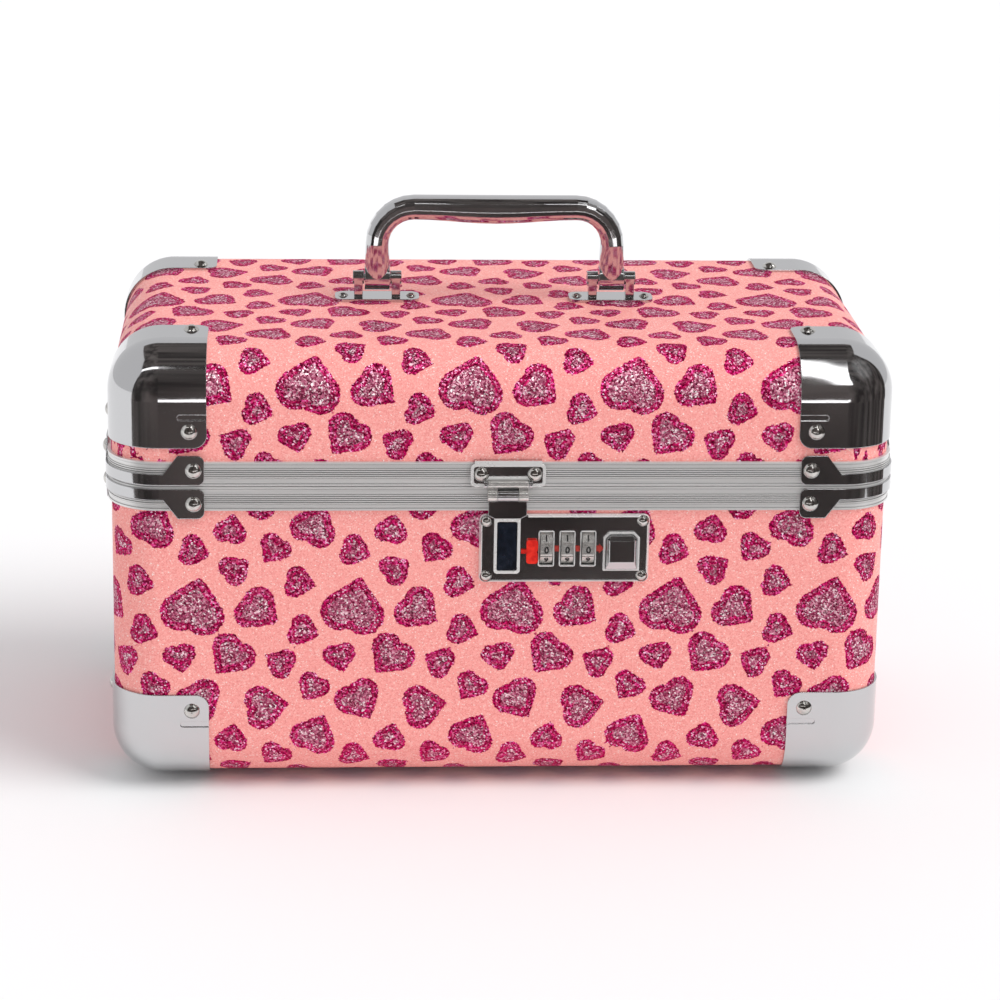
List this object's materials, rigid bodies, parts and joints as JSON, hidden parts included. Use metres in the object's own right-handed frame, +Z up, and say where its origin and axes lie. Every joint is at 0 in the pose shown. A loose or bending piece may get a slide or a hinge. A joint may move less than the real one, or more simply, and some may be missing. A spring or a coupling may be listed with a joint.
{
  "type": "makeup train case",
  "caption": "Rounded hinged make-up train case with a printed heart covering, chrome corners, aluminium rims, swing handle, jointed hasp on a dial lock, and trays lifted by the lid.",
  "frame": {"origin": "on the surface the feet stand on, under the middle of the whole part's box", "axes": "+X along the width to the right, +Y towards the hinges at the back, +Z up"},
  "size_m": [0.306, 0.1776, 0.2186],
  "materials": {
    "printed_covering": "pink fine-glitter covering printed with magenta glitter hearts",
    "board": "pressed board",
    "lining": "dark short-pile lining",
    "frame_aluminium": "reeded, satin",
    "chrome": "polished plate",
    "rivet_steel": "polished dome heads",
    "steel": "plated",
    "foot_rubber": "matt",
    "red_plastic": "gloss",
    "tray_plastic": "fine grain",
    "mirror": "silvered glass",
    "black_plastic": "satin"
  },
  "bodies": {
    "case_body": {"body_covering": "printed_covering", "body_board": "board", "body_lining": "lining", "body_frame": "frame_aluminium", "body_corner_caps": "chrome", "body_cap_rivets": "rivet_steel", "body_corner_clips": "chrome", "body_clip_rivets": "rivet_steel", "feet": "foot_rubber", "lock_plate": "chrome", "lock_case": "steel", "lock_rivets": "rivet_steel", "dial_axle": "steel", "wall_brackets": "steel", "wall_bracket_rivets": "steel", "wall_studs": "steel", "hinge_body_leaves": "steel", "hinge_pins": "steel", "hinge_body_rivets": "rivet_steel"},
    "dial_1": {"dial_1": "chrome"},
    "dial_2": {"dial_2": "chrome"},
    "dial_3": {"dial_3": "chrome"},
    "reset_lever": {"reset_lever": "red_plastic"},
    "lock_button": {"lock_button": "chrome"},
    "lock_bolt": {"lock_bolt": "steel"},
    "lid": {"hinge_lid_leaves": "steel", "hinge_lid_rivets": "rivet_steel", "lid_covering": "printed_covering", "lid_board": "board", "lid_lining": "lining", "lid_frame": "frame_aluminium", "lid_corner_caps": "chrome", "lid_cap_rivets": "rivet_steel", "lid_corner_clips": "chrome", "lid_clip_rivets": "rivet_steel", "mirror_glass": "mirror", "mirror_frame": "black_plastic", "lid_tray_brackets": "steel", "lid_bracket_rivets": "steel", "handle_brackets": "chrome", "handle_pins": "steel", "bracket_rivets": "rivet_steel", "hasp_plate": "chrome", "hasp_rivets": "rivet_steel", "hasp_upper_pin": "steel"},
    "handle": {"handle": "chrome"},
    "hasp_link": {"hasp_link": "chrome", "hasp_lower_pin": "steel"},
    "hasp_tongue": {"hasp_tongue": "chrome"},
    "main_arms": {"main_arms": "steel"},
    "short_arms": {"short_arms": "steel"},
    "upper_tray": {"upper_tray": "tray_plastic", "upper_tray_studs": "steel"},
    "lower_tray": {"lower_tray": "tray_plastic", "lower_tray_studs": "steel"}
  },
  "joints": [
    {"name": "lid_hinge", "type": "hinge", "parent": "case_body", "child": "lid", "pos_m": [0, 0.08635, 0.1246], "axis": [-1, 0, 0], "range_deg": [0, 95]},
    {"name": "main_arm_pivot", "type": "hinge", "parent": "case_body", "child": "main_arms", "pos_m": [0, 0.05035, 0.1086], "axis": [-1, 0, 0], "range_deg": [0, 95]},
    {"name": "short_arm_pivot", "type": "hinge", "parent": "case_body", "child": "short_arms", "pos_m": [0, 0.04285, 0.0946], "axis": [-1, 0, 0], "range_deg": [0, 95]},
    {"name": "upper_tray_pivot", "type": "hinge", "parent": "main_arms", "child": "upper_tray", "pos_m": [0, -0.01915, 0.1166], "axis": [-1, 0, 0], "range_deg": [-95, 0]},
    {"name": "lower_tray_pivot", "type": "hinge", "parent": "main_arms", "child": "lower_tray", "pos_m": [0, 0.01635, 0.0966], "axis": [-1, 0, 0], "range_deg": [-95, 0]},
    {"name": "handle_pivot", "type": "hinge", "parent": "lid", "child": "handle", "pos_m": [0, -0.00035, 0.1853], "axis": [1, 0, 0], "range_deg": [-85, 85]},
    {"name": "hasp_upper_hinge", "type": "hinge", "parent": "lid", "child": "hasp_link", "pos_m": [0.0015, -0.08625, 0.1261], "axis": [-1, 0, 0], "range_deg": [0, 100]},
    {"name": "hasp_lower_hinge", "type": "hinge", "parent": "hasp_link", "child": "hasp_tongue", "pos_m": [0.0015, -0.0868, 0.1218], "axis": [-1, 0, 0], "range_deg": [0, 90]},
    {"name": "dial_1_spin", "type": "hinge", "parent": "case_body", "child": "dial_1", "pos_m": [0.0166, -0.07935, 0.0999], "axis": [1, 0, 0], "continuous": true},
    {"name": "dial_2_spin", "type": "hinge", "parent": "case_body", "child": "dial_2", "pos_m": [0.0246, -0.07935, 0.0999], "axis": [1, 0, 0], "continuous": true},
    {"name": "dial_3_spin", "type": "hinge", "parent": "case_body", "child": "dial_3", "pos_m": [0.0326, -0.07935, 0.0999], "axis": [1, 0, 0], "continuous": true},
    {"name": "button_push", "type": "slide", "parent": "case_body", "child": "lock_button", "axis": [0, 1, 0], "range_m": [0, 0.002], "stiffness_N_per_m": 200},
    {"name": "bolt_slide", "type": "slide", "parent": "case_body", "child": "lock_bolt", "axis": [1, 0, 0], "range_m": [0, 0.002]},
    {"name": "reset_slide", "type": "slide", "parent": "case_body", "child": "reset_lever", "axis": [0, 0, 1], "range_m": [0, 0.002]}
  ],
  "couplings": [
    {"joint": "main_arm_pivot", "follows": "lid_hinge", "ratio": 1},
    {"joint": "short_arm_pivot", "follows": "lid_hinge", "ratio": 1},
    {"joint": "upper_tray_pivot", "follows": "lid_hinge", "ratio": -1},
    {"joint": "lower_tray_pivot", "follows": "lid_hinge", "ratio": -1},
    {"joint": "bolt_slide", "follows": "button_push", "ratio": 1}
  ]
}
